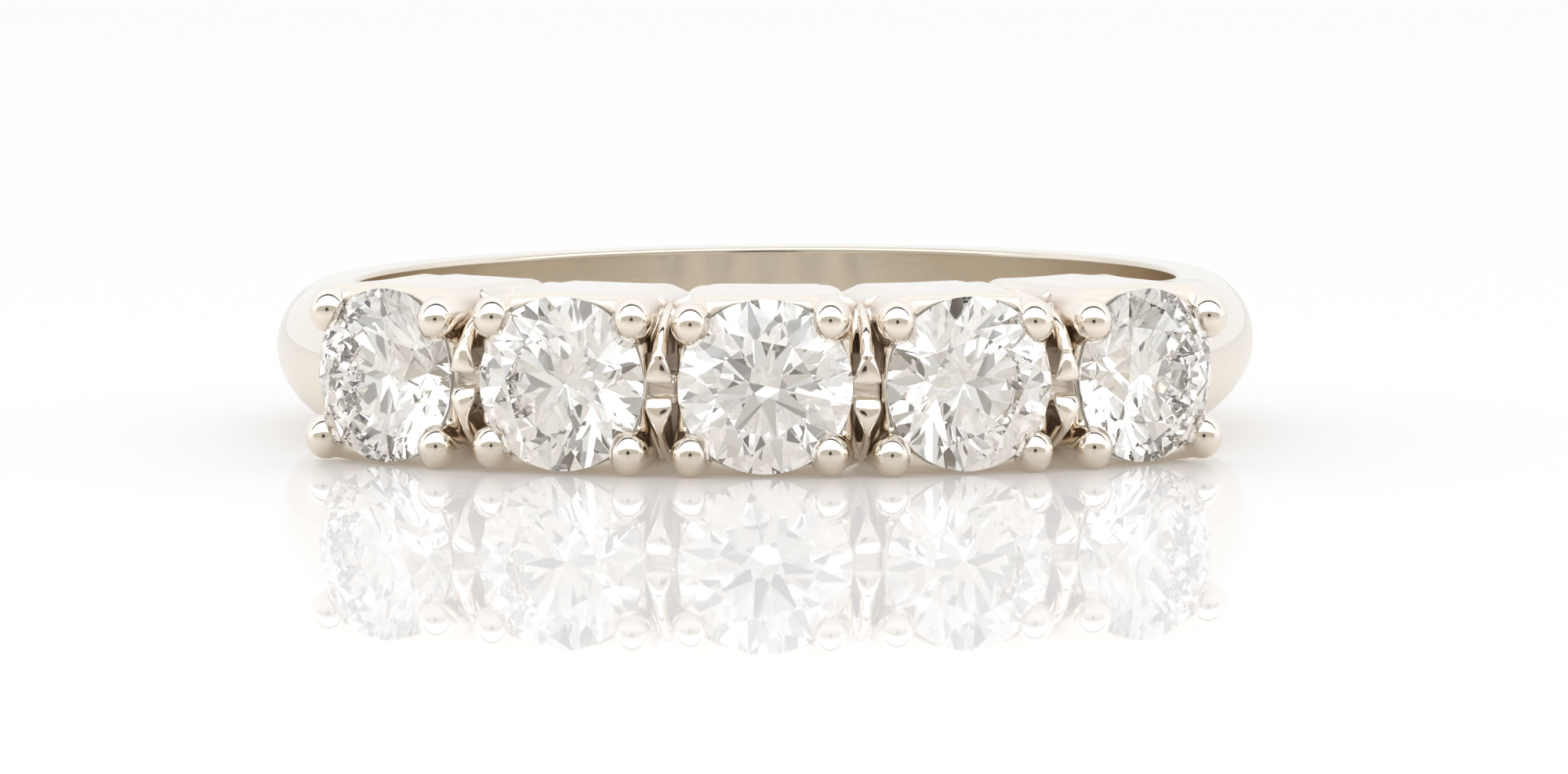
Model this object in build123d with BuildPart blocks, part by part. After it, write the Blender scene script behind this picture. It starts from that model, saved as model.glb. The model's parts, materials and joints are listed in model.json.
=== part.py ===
"""Diamond band: five round brilliants in four-prong heads on a half-round hoop.

The ring lies on its side. The finger axis is Z, the origin is the centre of the
finger hole, and the row of stones faces -Y. Lengths are millimetres, angles degrees.
"""

from build123d import *
import math
import os

# Hoop
finger_radius = 8.5
shank_width = 2.5
shank_thickness = 1.6
shank_edge_thickness = 0.75
inner_edge_ease = 0.15

# Stones, with the proportions of a round brilliant as shares of the girdle diameter
stone_count = 5
stone_diameter = 3.5
stone_gap = 0.63
girdle_share = 0.025
table_share = 0.57
crown_angle = 34.5
pavilion_angle = 40.75
star_share = 0.5
lower_half_share = 0.77
stone_turns = [4.0, -7.0, 11.0, -3.0, 15.0]

# Heads
culet_clearance = 1.86
seat_clearance = 0.03
head_base_height = 3.60
head_wall_margin = 0.03
head_rim_drop = 0.06
head_base_depth = 0.8
head_corner_radius = 0.55
head_overlap = 0.04
head_scallop_radius = 0.9
head_scallop_depth = 0.4
light_hole_radius = 0.95

# Prongs, four to a head
prong_azimuth = 43.0
prong_stand_off = 0.15
prong_bead_width = 0.74
prong_bead_height = 0.90
prong_bead_thickness = 0.78
prong_bead_overhang = 0.16
prong_neck_share = 0.94

# Spacers between the heads
spacer_clearance = 0.05
spacer_end_drop = 0.10
spacer_end_width = 0.22
spacer_floor_height = 2.1
spacer_floor_width = 0.9
spacer_bead_inset = 0.11
spacer_bead_length = 0.56
spacer_bead_rise = 0.28
spacer_bead_slope = 0.10
spacer_groove_depth = 0.84
spacer_nose_radius = 0.14

# Shoulders, which run from the outer heads to the sides of the hoop. Each section
# says how far along it stands and how much is left there of what the shoulder has
# more than the hoop in height, reach and edge reach
shoulder_start_share = 0.3
shoulder_end_angle = 90.0
shoulder_side_inset = 0.06
shoulder_crown_drop = 0.45
shoulder_edge_drop = 1.40
shoulder_sections = [
    {"along": 0.00, "left": 1.00},
    {"along": 0.34, "left": 0.54},
    {"along": 0.68, "left": 0.14},
    {"along": 1.00, "left": 0.00},
]

# Stone levels, measured along the stone's axis from the middle of its girdle
stone_radius = stone_diameter / 2
half_girdle = stone_diameter * girdle_share / 2
table_radius = stone_diameter * table_share / 2
crown_slope = math.tan(math.radians(crown_angle))
pavilion_slope = math.tan(math.radians(pavilion_angle))
table_level = half_girdle + (stone_radius - table_radius) * crown_slope
culet_level = -half_girdle - stone_radius * pavilion_slope

# A brilliant repeats eight times round its axis, and its facets meet at half steps
facet_count = 8
half_step = 180 / facet_count
facing = math.cos(math.radians(half_step))
star_radius = table_radius * facing
star_radius += star_share * (stone_radius - star_radius)
star_level = table_level - (star_radius * facing - table_radius) * crown_slope
keel_radius = stone_radius * (1 - lower_half_share)
keel_level = culet_level + keel_radius * facing * pavilion_slope

# Places round the finger
girdle_reach = finger_radius + culet_clearance - culet_level
stone_pitch = 2 * math.degrees(math.asin((stone_diameter + stone_gap) / (2 * girdle_reach)))
first_angle = -stone_pitch * (stone_count - 1) / 2
stone_angles = [first_angle + stone_pitch * i for i in range(stone_count)]
spacer_angles = [first_angle + stone_pitch * (i + 0.5) for i in range(stone_count - 1)]
shank_reach = finger_radius + shank_thickness
shank_edge_reach = finger_radius + shank_edge_thickness
bore_allowance = 0.2
core_reach = finger_radius - bore_allowance

# Head levels, measured from the finger axis
rim_reach = girdle_reach - half_girdle - head_rim_drop
head_top_half = stone_radius + head_wall_margin
head_base_half = core_reach * math.tan(math.radians(stone_pitch / 2)) + head_overlap
bead_reach = girdle_reach + prong_bead_overhang
prong_circle = stone_radius + prong_stand_off
prong_x = prong_circle * math.cos(math.radians(prong_azimuth))
prong_y = prong_circle * math.sin(math.radians(prong_azimuth))
prong_spots = [(x, y) for x in (-prong_x, prong_x) for y in (-prong_y, prong_y)]

# Spacer levels and widths
tongue_top = girdle_reach + spacer_bead_rise
tongue_floor = finger_radius + spacer_floor_height
bead_end = spacer_bead_inset + spacer_bead_length
spacer_half_width = (stone_gap - 2 * spacer_clearance) / 2
spacer_end_height = head_base_height / 2 - spacer_end_drop

# Shoulder where it leaves the outer head
shoulder_start_angle = stone_angles[-1] + stone_pitch * shoulder_start_share
shoulder_half_height = head_base_height / 2 - shoulder_side_inset
shoulder_reach = rim_reach - shoulder_crown_drop
shoulder_edge_reach = rim_reach - shoulder_edge_drop


def radial_plane(angle):
    """Plane on the finger axis: x runs round the ring, y along the finger, z outwards."""
    turn = math.radians(angle)
    return Plane(
        origin=(0, 0, 0),
        x_dir=(math.cos(turn), math.sin(turn), 0),
        z_dir=(math.sin(turn), -math.cos(turn), 0),
    )


def section_plane(angle):
    """Plane through the finger axis: x runs outwards and y along the finger."""
    turn = math.radians(angle)
    return Plane(
        origin=(0, 0, 0),
        x_dir=(math.sin(turn), -math.cos(turn), 0),
        z_dir=(-math.cos(turn), -math.sin(turn), 0),
    )


def half_round(plane, half_width, reach, edge_reach):
    """Half-round section: flat inside with eased edges, an arc outside."""
    ease = inner_edge_ease
    with BuildSketch(plane) as profile:
        with BuildLine():
            arc = ThreePointArc((edge_reach, half_width), (reach, 0), (edge_reach, -half_width))
            Polyline(
                arc @ 1,
                (finger_radius + ease, -half_width),
                (core_reach, -half_width + bore_allowance + ease),
                (core_reach, half_width - bore_allowance - ease),
                (finger_radius + ease, half_width),
                arc @ 0,
            )
        make_face()
    return profile.sketch


def facet_point(azimuth, radius, level):
    """Point of the stone given by its direction round the axis, radius and level."""
    turn = math.radians(azimuth)
    return Vector(radius * math.cos(turn), radius * math.sin(turn), level)


def facet_plane(a, b, c):
    """Plane of the facet through three points, facing away from the stone's axis."""
    normal = (b - a).cross(c - a)
    if normal.dot(a) < 0:
        normal = normal * -1
    return Plane(origin=a, z_dir=normal)


def brilliant_facets():
    """Planes of all facets but the table, one eighth of a turn at a time."""
    planes = []
    for k in range(facet_count):
        main = 2 * half_step * k
        corner = main + half_step
        table_tip = facet_point(main, table_radius, table_level)
        next_tip = facet_point(main + 2 * half_step, table_radius, table_level)
        star_tip = facet_point(corner, star_radius, star_level)
        last_star_tip = facet_point(main - half_step, star_radius, star_level)
        keel_tip = facet_point(corner, keel_radius, keel_level)
        last_keel_tip = facet_point(main - half_step, keel_radius, keel_level)
        culet = facet_point(0, 0, culet_level)
        planes.append(facet_plane(table_tip, next_tip, star_tip))
        planes.append(facet_plane(table_tip, star_tip, last_star_tip))
        planes.append(facet_plane(keel_tip, last_keel_tip, culet))
        for start in (main, corner):
            upper = [facet_point(a, stone_radius, half_girdle) for a in (start, start + half_step)]
            lower = [facet_point(a, stone_radius, -half_girdle) for a in (start, start + half_step)]
            planes.append(facet_plane(star_tip, *upper))
            planes.append(facet_plane(keel_tip, *lower))
    return planes


# Stone, cut from a disc with the middle of its girdle at the origin
with BuildPart() as brilliant:
    with BuildSketch(Plane.XY.offset(culet_level)):
        Circle(stone_radius)
    extrude(amount=table_level - culet_level)
    for plane in brilliant_facets():
        split(bisect_by=plane, keep=Keep.BOTTOM)

# Seat, the space that a stone and its clearance need in the metal
with BuildPart() as seat:
    with BuildSketch(Plane.XZ):
        with BuildLine():
            Polyline(
                (0, table_level + seat_clearance),
                (table_radius + seat_clearance, table_level + seat_clearance),
                (star_radius + seat_clearance, star_level + seat_clearance),
                (stone_radius + seat_clearance, half_girdle + seat_clearance),
                (stone_radius + seat_clearance, -half_girdle - seat_clearance),
                (keel_radius + seat_clearance, keel_level - seat_clearance),
                (0, culet_level - 2 * seat_clearance),
                close=True,
            )
        make_face()
    revolve(axis=Axis.Z)

# Head, with z outwards from the finger axis: a column with rounded corners, whose
# two sides that face other heads are scooped out, and a beaded prong at each corner
with BuildPart() as head:
    column_levels = [
        {"reach": core_reach, "half_height": head_base_height / 2 - bore_allowance - inner_edge_ease},
        {"reach": finger_radius + inner_edge_ease, "half_height": head_base_height / 2},
        {"reach": finger_radius + head_base_depth, "half_height": head_base_height / 2},
        {"reach": rim_reach, "half_height": head_top_half},
    ]
    for level in column_levels:
        climbed = (level["reach"] - core_reach) / (rim_reach - core_reach)
        half_width = head_base_half + (head_top_half - head_base_half) * climbed
        with BuildSketch(Plane.XY.offset(level["reach"])):
            RectangleRounded(2 * half_width, 2 * level["half_height"], head_corner_radius)
    loft(ruled=True)
    with Locations((0, 0, rim_reach - head_scallop_depth + head_scallop_radius)):
        Cylinder(head_scallop_radius, 4 * stone_radius, rotation=(0, 90, 0), mode=Mode.SUBTRACT)
    neck_x = prong_bead_width / 2 * prong_neck_share
    neck_y = prong_bead_height / 2 * prong_neck_share
    with BuildSketch(Plane.XY.offset(finger_radius + head_base_depth)):
        with Locations(*prong_spots):
            Ellipse(neck_x, neck_y)
    extrude(amount=bead_reach - finger_radius - head_base_depth)

# Bead on a prong's end: longer along the finger than it is wide
with BuildPart() as prong_bead:
    with BuildSketch(Plane.XY):
        with BuildLine():
            EllipticalCenterArc((0, 0), prong_bead_thickness / 2, prong_bead_height / 2, -90, arc_size=180)
            Line((0, -prong_bead_height / 2), (0, prong_bead_height / 2))
        make_face()
    revolve(axis=Axis.Y)

# Spacer between two heads: a low floor, and two beaded tongues that climb from
# the rims towards the middle and leave a groove between them
with BuildPart() as tongue:
    with BuildSketch(Plane.YZ):
        with BuildLine():
            Polyline(
                (0, core_reach),
                (spacer_end_height, core_reach),
                (spacer_end_height, tongue_floor - spacer_bead_inset),
                (bead_end, tongue_top - spacer_bead_slope),
                (spacer_bead_inset + spacer_nose_radius, tongue_top),
                (spacer_bead_inset, tongue_top - spacer_nose_radius),
                (spacer_bead_inset, tongue_top - spacer_groove_depth),
                (0, tongue_top - spacer_groove_depth),
                close=True,
            )
        make_face()
    extrude(amount=spacer_half_width, both=True)
    with BuildSketch(Plane.XY.offset(core_reach)):
        with BuildLine():
            Polyline(
                (-spacer_half_width, 0),
                (-spacer_half_width, bead_end - spacer_nose_radius),
                (-spacer_end_width / 2, spacer_end_height),
                (spacer_end_width / 2, spacer_end_height),
                (spacer_half_width, bead_end - spacer_nose_radius),
                (spacer_half_width, 0),
                close=True,
            )
        make_face()
    extrude(amount=tongue_top, mode=Mode.INTERSECT)

with BuildPart() as spacer:
    with BuildSketch(Plane.XY.offset(core_reach)):
        Rectangle(spacer_floor_width, 2 * spacer_end_height)
    extrude(amount=tongue_floor - core_reach)
    add(tongue.part)
    add(tongue.part.mirror(Plane.XZ))

# Band: hoop, shoulders, heads, prongs and spacers, all one casting
with BuildPart() as band:
    hoop_section = half_round(Plane.XZ, shank_width / 2, shank_reach, shank_edge_reach)
    revolve(hoop_section, axis=Axis.Z)
    shoulder_profiles = []
    for section in shoulder_sections:
        along = shoulder_start_angle + (shoulder_end_angle - shoulder_start_angle) * section["along"]
        left = section["left"]
        half_height = shank_width / 2 + (shoulder_half_height - shank_width / 2) * left
        reach = shank_reach + (shoulder_reach - shank_reach) * left
        edge_reach = shank_edge_reach + (shoulder_edge_reach - shank_edge_reach) * left
        profile = half_round(section_plane(along), half_height, reach, edge_reach)
        shoulder_profiles.append(profile)
    loft(shoulder_profiles)
    mirror(about=Plane.YZ)
    with Locations(*[radial_plane(angle).location for angle in stone_angles]):
        add(head.part)
        with Locations(*[(x, y, bead_reach) for x, y in prong_spots]):
            add(prong_bead.part)
    with Locations(*[radial_plane(angle).location for angle in spacer_angles]):
        add(spacer.part)
    Cylinder(finger_radius, 2 * head_base_height, mode=Mode.SUBTRACT)
    with Locations(*[radial_plane(angle).offset(girdle_reach).location for angle in stone_angles]):
        add(seat.part, mode=Mode.SUBTRACT)
    with Locations(*[radial_plane(angle).location for angle in stone_angles]):
        Cylinder(
            light_hole_radius,
            girdle_reach,
            align=(Align.CENTER, Align.CENTER, Align.MIN),
            mode=Mode.SUBTRACT,
        )

os.makedirs("parts", exist_ok=True)
band.part.label = "band"
export_step(band.part, "parts/band.step")
for number, (angle, turn) in enumerate(zip(stone_angles, stone_turns), start=1):
    name = f"stone_{number}"
    with BuildPart() as stone:
        with Locations(radial_plane(angle).offset(girdle_reach).location):
            add(brilliant.part, rotation=(0, 0, turn))
    stone.part.label = name
    export_step(stone.part, f"parts/{name}.step")
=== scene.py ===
"""Looks of a diamond band lying on its side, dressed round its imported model.

The metal is made of smooth surfaces: the hoop is a section carried round the
finger, and each head and spacer is the skin of a distance formula, so that its
prongs, beads and walls flow into each other as cast metal does. The stones keep
their cut facets and get a diamond's optics. Lengths are metres.
"""

import json
import math

import bpy
import numpy as np
from bpy.props import FloatProperty, FloatVectorProperty, PointerProperty
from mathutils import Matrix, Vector


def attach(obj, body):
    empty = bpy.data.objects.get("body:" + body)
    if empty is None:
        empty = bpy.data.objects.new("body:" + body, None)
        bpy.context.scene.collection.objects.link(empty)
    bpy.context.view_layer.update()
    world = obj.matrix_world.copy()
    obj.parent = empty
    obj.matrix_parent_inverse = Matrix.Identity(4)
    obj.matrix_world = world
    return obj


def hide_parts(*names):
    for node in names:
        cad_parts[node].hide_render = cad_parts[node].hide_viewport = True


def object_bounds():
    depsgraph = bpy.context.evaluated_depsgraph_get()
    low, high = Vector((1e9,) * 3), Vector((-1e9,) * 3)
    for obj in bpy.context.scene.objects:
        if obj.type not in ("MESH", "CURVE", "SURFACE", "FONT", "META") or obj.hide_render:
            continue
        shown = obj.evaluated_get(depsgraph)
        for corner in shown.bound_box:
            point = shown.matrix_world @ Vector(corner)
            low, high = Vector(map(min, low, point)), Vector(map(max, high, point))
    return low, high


bl_info = {
    "name": "Diamond band",
    "version": (1, 0, 0),
    "blender": (4, 5, 0),
    "location": "View3D > Sidebar > Diamond band",
    "description": "Dresses a five stone diamond band: metal, stones and studio",
    "category": "Object",
}

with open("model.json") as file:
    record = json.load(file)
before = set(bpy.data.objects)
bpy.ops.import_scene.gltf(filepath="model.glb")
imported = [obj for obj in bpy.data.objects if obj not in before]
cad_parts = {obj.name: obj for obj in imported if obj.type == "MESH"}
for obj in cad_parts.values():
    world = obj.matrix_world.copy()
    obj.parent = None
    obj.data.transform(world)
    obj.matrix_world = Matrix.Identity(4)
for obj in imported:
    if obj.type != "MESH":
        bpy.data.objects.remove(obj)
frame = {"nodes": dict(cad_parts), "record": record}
cad_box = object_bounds()

MM = 0.001
STONES = sorted(name for name in frame["nodes"] if name.startswith("stone_"))
BORE = next(m for m in frame["record"]["mounts"] if m["name"] == "finger_bore")
FINGER_RADIUS = BORE["dims"]["r_mm"] * MM

# Share of its radius past which a stone's vertex belongs to the girdle, and how far
# off the girdle's edges the other vertices are
GIRDLE_SHARE = 0.999
GIRDLE_MARGIN = 0.01 * MM


def node_points(name):
    """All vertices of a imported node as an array, one row per vertex."""
    mesh = frame["nodes"][name].data
    flat = np.empty(len(mesh.vertices) * 3)
    mesh.vertices.foreach_get("co", flat)
    return flat.reshape(-1, 3)


def stone_place(name):
    """Angle round the finger, levels, radius and slopes of a packed stone.

    The culet is the vertex nearest to the finger axis and shows the direction. The
    girdle is where the stone is widest. A slope is the least run towards the stone's
    axis for each step away from the girdle that any vertex has, so that a cone with
    this slope stays outside the stone.
    """
    points = node_points(name)
    culet = points[np.hypot(points[:, 0], points[:, 1]).argmin()]
    angle = math.atan2(culet[0], -culet[1])
    outward = points[:, 0] * math.sin(angle) - points[:, 1] * math.cos(angle)
    round_it = points[:, 0] * math.cos(angle) + points[:, 1] * math.sin(angle)
    off_axis = np.hypot(round_it, points[:, 2])
    radius = off_axis.max()
    widest = off_axis > radius * GIRDLE_SHARE
    low, high = outward[widest].min(), outward[widest].max()
    under, over = outward < low - GIRDLE_MARGIN, outward > high + GIRDLE_MARGIN
    return {
        "angle": angle,
        "radius": float(radius),
        "girdle": float((low + high) / 2),
        "half_girdle": float((high - low) / 2),
        "table": float(outward.max()),
        "under_slope": float(((radius - off_axis[under]) / (low - outward[under])).min()),
        "over_slope": float(((radius - off_axis[over]) / (outward[over] - high)).min()),
    }


RING_HEIGHT = float(np.ptp(node_points("band")[:, 2]))
PLACES = sorted((stone_place(name) for name in STONES), key=lambda place: place["angle"])
PITCH = PLACES[1]["angle"] - PLACES[0]["angle"]
STONE_RADIUS = PLACES[0]["radius"]
GIRDLE = PLACES[0]["girdle"]
HALF_GIRDLE = PLACES[0]["half_girdle"]
TABLE = PLACES[0]["table"]

# Fineness of the surfaces
HOOP_ROWS = 481
ARC_POINTS = 73
SIDE_POINTS = 17
FLAT_POINTS = 49
CORNER_MEANS = 3
HEAD_STEP = 0.05 * MM
SPACER_STEP = 0.038 * MM

# Room round a head and a spacer in which their surfaces are looked for
HEAD_ROOM = {"round": 0.35 * MM, "along": 0.1 * MM, "inward": 0.3 * MM, "outward": 0.55 * MM}
SPACER_ROOM = {"round": 0.6 * MM, "along": 0.0, "inward": 0.1 * MM, "outward": 0.5 * MM}

# How vertices slide onto a surface: how often, how far at most and how far to either
# side the slope is felt, both as shares of the grid's step, and the least squared slope
SLIDES = 3
MOST_SLIDE = 0.5
SLOPE_REACH = 0.05
LEAST_SLOPE = 0.05

# Factors that turn the formulas of slanting walls into about a distance
UNDER_SCALE = 0.8
OVER_SCALE = 0.55
BEAD_SCALE = 0.9

# Rounding where forms of the casting meet, as shares of the heads' softness
ROUNDINGS = {
    "prong": 2.0,
    "seat": 0.35,
    "bore": 1.6,
    "groove": 0.7,
    "dome": 0.9,
    "ridge": 0.8,
    "bead": 0.5,
    "strut": 0.3,
}

# How far a spacer bead goes on narrowing, as a share of the way to its point
NARROWING_END = 1.2

# Where each prong of a head stands: its side round the ring and along the finger
CORNERS = {"left_high": (-1, 1), "right_high": (1, 1), "left_low": (-1, -1), "right_low": (1, -1)}

# How far single prongs and spacer beads stand off their even places, in millimetres
# round the ring and along the finger, from the first head or spacer to the last
PRONG_NUDGES = {
    "left_high": [(0.00, -0.05), (-0.02, 0.00), (-0.08, -0.05), (-0.17, -0.02), (-0.10, -0.14)],
    "right_high": [(0.06, -0.10), (0.14, 0.03), (-0.11, 0.03), (-0.05, -0.09), (0.17, -0.18)],
    "left_low": [(-0.10, -0.01), (-0.03, 0.02), (-0.08, -0.06), (-0.28, -0.08), (-0.08, -0.08)],
    "right_low": [(0.08, -0.05), (0.07, -0.04), (-0.11, -0.03), (-0.05, -0.07), (0.04, -0.01)],
}
SPACER_NUDGES = [(-0.02, 0.03), (-0.03, -0.06), (-0.05, -0.08), (0.02, -0.14)]

# Ends of the struts beside the ridges, in millimetres, with the depth below the girdle
STRUT_ENDS = [
    {"round": 0.34, "along": 0.78, "below": 0.30},
    {"round": 0.12, "along": 1.45, "below": 0.66},
]

# Waves of hand-finished metal and ripples on the floor of a spacer's groove, by their
# angle for each metre of the way, and for the seed or each metre of the nudge
HAND_WAVES = [
    {"x": 3900, "y": 2100, "z": 0, "seed": 1.0},
    {"x": 0, "y": 3300, "z": -2400, "seed": 2.3},
    {"x": 1900, "y": 0, "z": 4100, "seed": -1.7},
]
RIPPLE = {"round": 9000, "along": 48000, "nudge": 90000}

# Noise levels between which the polish grows dull, and how the two crossing sets of
# scratches are turned and stretched
DULL = (0.42, 0.72)
SCRATCHES = [
    {"turn": (0.5, 0.35, 0.5), "stretch": (1.0, 0.06, 1.0)},
    {"turn": (-0.8, -0.56, -0.8), "stretch": (0.06, 1.0, 1.0)},
]

# Distances between which soil (dirt with painted shade in the recesses), satin and the
# bore's darker tone of painted shade grow, and how far above the girdles soil reaches in
# the spacers' grooves
BLUR = 0.1 * MM
FLANK = (1.35 * MM, 1.60 * MM)
BROW = (1.35 * MM, 1.55 * MM)
BROW_DEPTH = (-0.9 * MM, -0.5 * MM)
DIRT_AND_SHADE_DEPTH = (0.05 * MM, 0.9 * MM)
DIRT_AND_SHADE_INSIDE = (0.08 * MM, 0.35 * MM)
DIRT_AND_SHADE_ABOVE_HOOP = (0.1 * MM, 0.4 * MM)
FILLING_EDGE = (0.05 * MM, 0.2 * MM)
GROOVE_EDGE = (0.10 * MM, 0.15 * MM)
GROOVE_TOP = 0.08 * MM
BORE_EDGE = (0.12 * MM, 0.02 * MM)

# Where one part of the surround gives way to the next, in degrees over the front
# horizon. The last pair is for light that the floor spreads
EDGES = {
    "light": (23, 28),
    "gap": (77, 79),
    "white": (86, 92),
    "backdrop": (120, 150),
    "back": (60, 100),
}

# The same for the white at either side, by how far a direction points aside
SIDES = (0.97, 0.88)

# Where the dark disc at the camera begins and is full, in degrees from its middle
LENS_DISC = (13, 7)


def length(name, value, about):
    """A length in metres with a name and a description."""
    return FloatProperty(name=name, description=about, default=value, unit="LENGTH", precision=5)


def share(name, value, about):
    """A number without a unit, with a name and a description."""
    return FloatProperty(name=name, description=about, default=value, min=0.0)


def degrees(name, value, about):
    """An angle, given in degrees and kept in radians, with a name and a description."""
    return FloatProperty(name=name, description=about, default=math.radians(value), subtype="ANGLE")


def colour(name, value, about):
    """A colour in linear light, with a name and a description."""
    return FloatVectorProperty(name=name, description=about, default=value, subtype="COLOR", size=3)


class HoopSizes(bpy.types.PropertyGroup):
    """Sizes of the half-round hoop and its shoulders."""

    width: length("Width", 2.5 * MM, "Width of the hoop along the finger")
    thickness: length("Thickness", 1.6 * MM, "Thickness of the hoop at its crown")
    edge: length("Edge", 0.75 * MM, "Thickness of the hoop at its edges")
    crown_drop: length("Crown drop", 0.52 * MM, "How far the shoulder's crown stays below the girdles")
    edge_drop: length("Edge drop", 1.5 * MM, "How far the shoulder's edge stays below the girdles")
    side_inset: length("Side inset", 0.06 * MM, "How far the shoulder stays inside the heads' height")
    inner_inset: length("Inner inset", 0.02 * MM, "How far its start stays behind the heads' inside")
    inset_end: share("Inset end", 0.125, "Share of the taper in which that inset runs out")
    fullness: share("Fullness", 0.65, "How slowly the shoulder tapers at its start")
    taper: share("Taper start", 0.18, "Where the taper starts past the outer stone, in pitches")
    start: share("Start", 0.36, "Where the hoop starts past the outer stone, in pitches")
    lean: length("Lean", 0.08 * MM, "How far the hoop's right side lies higher than its middle")


class HeadSizes(bpy.types.PropertyGroup):
    """Sizes of the four-prong heads."""

    margin: length("Wall margin", 0.03 * MM, "How far the wall's top stands outside the stone")
    rim_drop: length("Rim drop", 0.04 * MM, "How far the wall's top stays below the girdle")
    rim_round: length("Rim rounding", 0.3 * MM, "Rounding of the wall's top edge")
    base_depth: length("Base depth", 0.8 * MM, "Depth of the part that keeps its full height")
    corner: length("Corner", 0.55 * MM, "Radius of the column's corners")
    seat: length("Seat gap", 0.02 * MM, "Gap between a stone and its seat")
    light_hole: length("Light hole", 0.95 * MM, "Radius of the hole under a stone")
    scallop_radius: length("Scallop radius", 0.9 * MM, "Radius of the scoop in a side that faces a head")
    scallop_depth: length("Scallop depth", 0.12 * MM, "Depth of that scoop below the wall's top")
    softness: length("Softness", 0.09 * MM, "Rounding where two forms of the casting meet")
    unevenness: length("Unevenness", 0.003 * MM, "Height of the waves that hand finishing leaves")


class ProngSizes(bpy.types.PropertyGroup):
    """Sizes of the prongs and their beads."""

    across: length("Across", 1.41 * MM, "Distance of a bead from the stone's axis, round the ring")
    along: length("Along", 1.30 * MM, "Distance of a bead from the stone's axis, along the finger")
    rise: length("Rise", 0.11 * MM, "How far the middle of the bead stands above the girdle")
    half_across: length("Half across", 0.39 * MM, "Half width of the bead round the ring")
    half_along: length("Half along", 0.45 * MM, "Half width of the bead along the finger")
    half_outward: length("Half outward", 0.42 * MM, "Half height of the bead away from the finger")
    stem: length("Stem", 0.34 * MM, "Radius of the prong at its foot")
    stem_left: share("Stem left", 0.94, "Share of that radius that is left under the bead")
    foot: length("Foot", 0.12 * MM, "How far the prong's foot stands out from the column")


class SpacerSizes(bpy.types.PropertyGroup):
    """Sizes of the beaded spacers between the heads."""

    rise: length("Rise", 0.29 * MM, "How far the beads' tops stand above the girdle")
    half: length("Half width", 0.33 * MM, "Half width of a bead at its wide end")
    bulge: length("Bulge", 0.07 * MM, "How far a bead's top falls to its sides")
    flank: share("Flank", 0.33, "How quickly a bead narrows below its top")
    groove: length("Groove", 0.24 * MM, "Width of the groove between the two beads")
    groove_flank: share("Groove flank", 0.1, "How quickly the groove widens towards its floor")
    high_top: length("High top", 0.38 * MM, "Where the upper bead is highest, from the ring's mid plane")
    high_curve: share("High curve", 560, "How quickly the upper bead falls from there, per metre")
    high_full: length("High full", 0.22 * MM, "How far from the mid plane the upper bead keeps its width")
    high_point: length("High point", 0.85 * MM, "Where the upper bead has run out into its ridge")
    high_ridge: length("High ridge", 0.16 * MM, "Radius of the upper bead's ridge")
    low_top: length("Low top", 0.50 * MM, "Where the lower bead is highest, from the ring's mid plane")
    low_curve: share("Low curve", 890, "How quickly the lower bead falls from there, per metre")
    low_full: length("Low full", 0.34 * MM, "How far from the mid plane the lower bead keeps its width")
    low_point: length("Low point", 0.98 * MM, "Where the lower bead has run out to a point")
    low_ridge: length("Low ridge", 0.08 * MM, "Radius of the lower bead's ridge")
    ridge_along: length("Ridge along", 0.62 * MM, "Where the ridges start, from the ring's mid plane")
    ridge_sink: length("Ridge sink", 0.03 * MM, "How far the ridge's start stays below the bead")
    end_radius: length("End radius", 0.09 * MM, "Radius of the ridge where it meets the rims")
    end_drop: length("End drop", 0.10 * MM, "How far the ridge's end stays inside the heads' height")
    end_reach: length("End reach", 10.6 * MM, "Distance of the ridge's end from the finger axis")
    point_share: share("Point share", 0.8, "Width of a bead's point as a share of its ridge")
    bar_half: length("Bar half", 0.3 * MM, "Half length of the bar under the groove")
    bar_share: share("Bar share", 0.95, "Width of that bar as a share of the beads'")
    bar_corner: length("Bar corner", 0.05 * MM, "Radius of its corners")
    bar_drop: length("Bar drop", 0.12 * MM, "How far the floor of the groove stays below the girdle")
    ripple: length("Ripple", 0.014 * MM, "Height of the ripples on that floor")
    strut: length("Strut", 0.07 * MM, "Radius of the struts beside the ridges")
    fill_half: length("Filling half", 0.42 * MM, "Half width of the filling between two heads")
    fill_slant: share("Filling slant", 0.45, "How quickly the filling lengthens to its sides")
    fill_flat: length("Filling flat", 0.7 * MM, "How far along the finger the filling keeps its reach")
    fill_round: length("Filling rounding", 0.3 * MM, "Rounding where it starts to fall")
    fill_drop: length("Filling drop", 0.62 * MM, "How far the filling stays below the girdle there")
    fill_along: length("Filling along", 1.6 * MM, "How far along the finger it goes in the middle")
    fill_reach: length("Filling reach", 10.9 * MM, "Reach of the filling at its ends")
    inner_inset: length("Inner inset", 0.06 * MM, "How far the spacer stays behind the heads' inside")


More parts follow.
